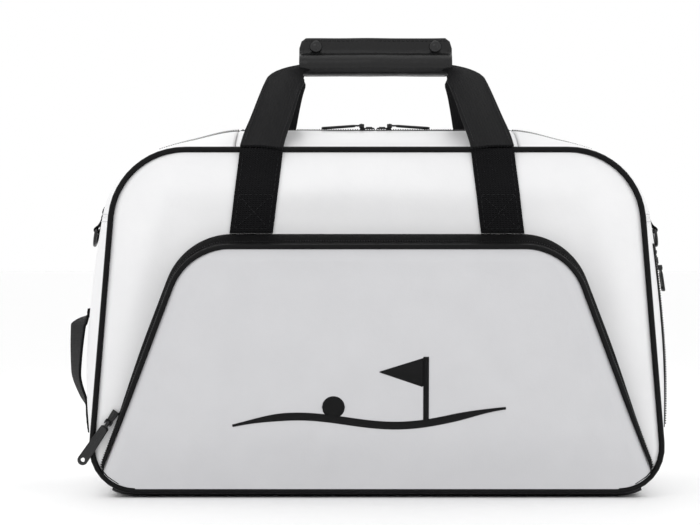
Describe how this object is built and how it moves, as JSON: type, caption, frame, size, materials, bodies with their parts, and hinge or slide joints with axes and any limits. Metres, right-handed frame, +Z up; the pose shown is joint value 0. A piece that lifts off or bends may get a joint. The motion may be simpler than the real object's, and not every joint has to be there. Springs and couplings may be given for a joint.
{
  "type": "golf holdall bag",
  "caption": "Soft holdall with piped panels, a wedge-shaped front pocket, a pair of snapped carry handles, a zipped top and a shoe door in one end.",
  "frame": {"origin": "underside of the middle foot, at the centre of the base", "axes": "+X along the bag towards the shoe door, +Y towards the rear panel, +Z up"},
  "size_m": [0.5543, 0.2896, 0.413],
  "materials": {
    "white_cover": "smooth coated leather, soft sheen",
    "black_piping": "satin coated piping",
    "black_base": "pebbled coated leather",
    "black_grip": "soft grained leather, slight sheen",
    "black_webbing": "ribbed woven webbing",
    "zip_tape": "fine woven tape with coil teeth",
    "lining": "plain woven lining",
    "stiffener": "matt",
    "feet": "satin moulded",
    "embroidery": "dense satin stitch",
    "black_metal": "black enamel, semi gloss"
  },
  "bodies": {
    "shell": {"front_panel": "white_cover", "rear_panel": "white_cover", "front_piping": "black_piping", "rear_piping": "black_piping", "end_gusset_left": "white_cover", "end_gusset_right": "white_cover", "top_corner_left": "white_cover", "top_corner_right": "white_cover", "base_panel": "black_base", "base_board": "stiffener", "feet": "feet", "front_strap_ends": "black_webbing", "rear_strap_ends": "black_webbing", "pocket_zip_outer": "zip_tape", "side_tab_left": "black_webbing", "side_tab_right": "black_webbing", "grab_handle": "black_webbing", "door_zip_tape": "zip_tape", "shoe_tunnel": "lining", "inner_pocket": "lining"},
    "front_flap": {"front_lip": "white_cover", "front_zip_tape": "zip_tape"},
    "rear_flap": {"rear_lip": "white_cover", "rear_zip_tape": "zip_tape"},
    "zip_left": {"main_slider_left": "black_metal"},
    "zip_right": {"main_slider_right": "black_metal"},
    "pull_left": {"main_pull_left": "black_metal"},
    "pull_right": {"main_pull_right": "black_metal"},
    "pocket_lid": {"pocket_panel": "white_cover", "pocket_piping": "black_piping", "pocket_zip_inner": "zip_tape", "pocket_emblem": "embroidery"},
    "pocket_zip": {"pocket_slider": "black_metal"},
    "pocket_tab": {"pocket_pull": "black_metal"},
    "front_handle": {"front_webbing": "black_webbing", "front_grip_leaf": "black_grip", "snap_caps": "black_metal"},
    "rear_handle": {"rear_webbing": "black_webbing", "rear_grip_leaf": "black_grip", "snap_sockets": "black_metal"},
    "door": {"shoe_door": "white_cover"},
    "door_zip_front": {"door_slider_front": "black_metal"},
    "door_zip_rear": {"door_slider_rear": "black_metal"},
    "door_tab_front": {"door_pull_front": "black_metal"},
    "door_tab_rear": {"door_pull_rear": "black_metal"},
    "ring_left": {"d_ring_left": "black_metal"},
    "ring_right": {"d_ring_right": "black_metal"}
  },
  "joints": [
    {"name": "front_handle_hinge", "type": "hinge", "parent": "shell", "child": "front_handle", "pos_m": [0, -0.131, 0.307], "axis": [1, 0, 0], "range_deg": [0, 200]},
    {"name": "rear_handle_hinge", "type": "hinge", "parent": "shell", "child": "rear_handle", "pos_m": [0, 0.131, 0.307], "axis": [-1, 0, 0], "range_deg": [0, 200]},
    {"name": "front_flap_hinge", "type": "hinge", "parent": "shell", "child": "front_flap", "pos_m": [0, -0.1225, 0.3075], "axis": [1, 0, 0], "range_deg": [0, 100]},
    {"name": "rear_flap_hinge", "type": "hinge", "parent": "shell", "child": "rear_flap", "pos_m": [0, 0.1225, 0.3075], "axis": [-1, 0, 0], "range_deg": [0, 100]},
    {"name": "main_zip_left", "type": "slide", "parent": "front_flap", "child": "zip_left", "axis": [-1, 0, 0], "range_m": [0, 0.107]},
    {"name": "main_zip_right", "type": "slide", "parent": "front_flap", "child": "zip_right", "axis": [1, 0, 0], "range_m": [0, 0.107]},
    {"name": "main_pull_left_hinge", "type": "hinge", "parent": "zip_left", "child": "pull_left", "pos_m": [-0.013, -0.0043, 0.3323], "axis": [0, 1, 0], "range_deg": [0, 95]},
    {"name": "main_pull_right_hinge", "type": "hinge", "parent": "zip_right", "child": "pull_right", "pos_m": [0.013, -0.0043, 0.3323], "axis": [0, -1, 0], "range_deg": [0, 95]},
    {"name": "pocket_hinge", "type": "hinge", "parent": "shell", "child": "pocket_lid", "pos_m": [0, -0.1254, 0.0115], "axis": [1, 0, 0], "range_deg": [0, 80]},
    {"name": "pocket_zip_slide", "type": "slide", "parent": "shell", "child": "pocket_zip", "axis": [0.3568, 0, 0.9342], "range_m": [0, 0.125]},
    {"name": "pocket_pull_hinge", "type": "hinge", "parent": "pocket_zip", "child": "pocket_tab", "pos_m": [-0.23495, -0.1303, 0.06588], "axis": [-0.8241, 0, 0.5664], "range_deg": [0, 90]},
    {"name": "door_hinge", "type": "hinge", "parent": "shell", "child": "door", "pos_m": [0.26285, 0, 0.058], "axis": [0, 1, 0], "range_deg": [0, 90]},
    {"name": "door_zip_front_slide", "type": "slide", "parent": "door", "child": "door_zip_front", "axis": [0, -1, 0], "range_m": [0, 0.045]},
    {"name": "door_zip_rear_slide", "type": "slide", "parent": "door", "child": "door_zip_rear", "axis": [0, 1, 0], "range_m": [0, 0.045]},
    {"name": "door_pull_front_hinge", "type": "hinge", "parent": "door_zip_front", "child": "door_tab_front", "pos_m": [0.26284, -0.0042, 0.20129], "axis": [0, -1, 0], "range_deg": [0, 90]},
    {"name": "door_pull_rear_hinge", "type": "hinge", "parent": "door_zip_rear", "child": "door_tab_rear", "pos_m": [0.26284, 0.0042, 0.20129], "axis": [0, -1, 0], "range_deg": [0, 90]},
    {"name": "ring_left_hinge", "type": "hinge", "parent": "shell", "child": "ring_left", "pos_m": [-0.2565, 0, 0.23595], "axis": [0, 1, 0], "range_deg": [0, 140]},
    {"name": "ring_right_hinge", "type": "hinge", "parent": "shell", "child": "ring_right", "pos_m": [0.2565, 0, 0.23595], "axis": [0, -1, 0], "range_deg": [0, 140]}
  ],
  "couplings": [
    {"joint": "front_flap_hinge", "follows": "front_handle_hinge", "ratio": 0.5},
    {"joint": "rear_flap_hinge", "follows": "rear_handle_hinge", "ratio": 0.5}
  ]
}
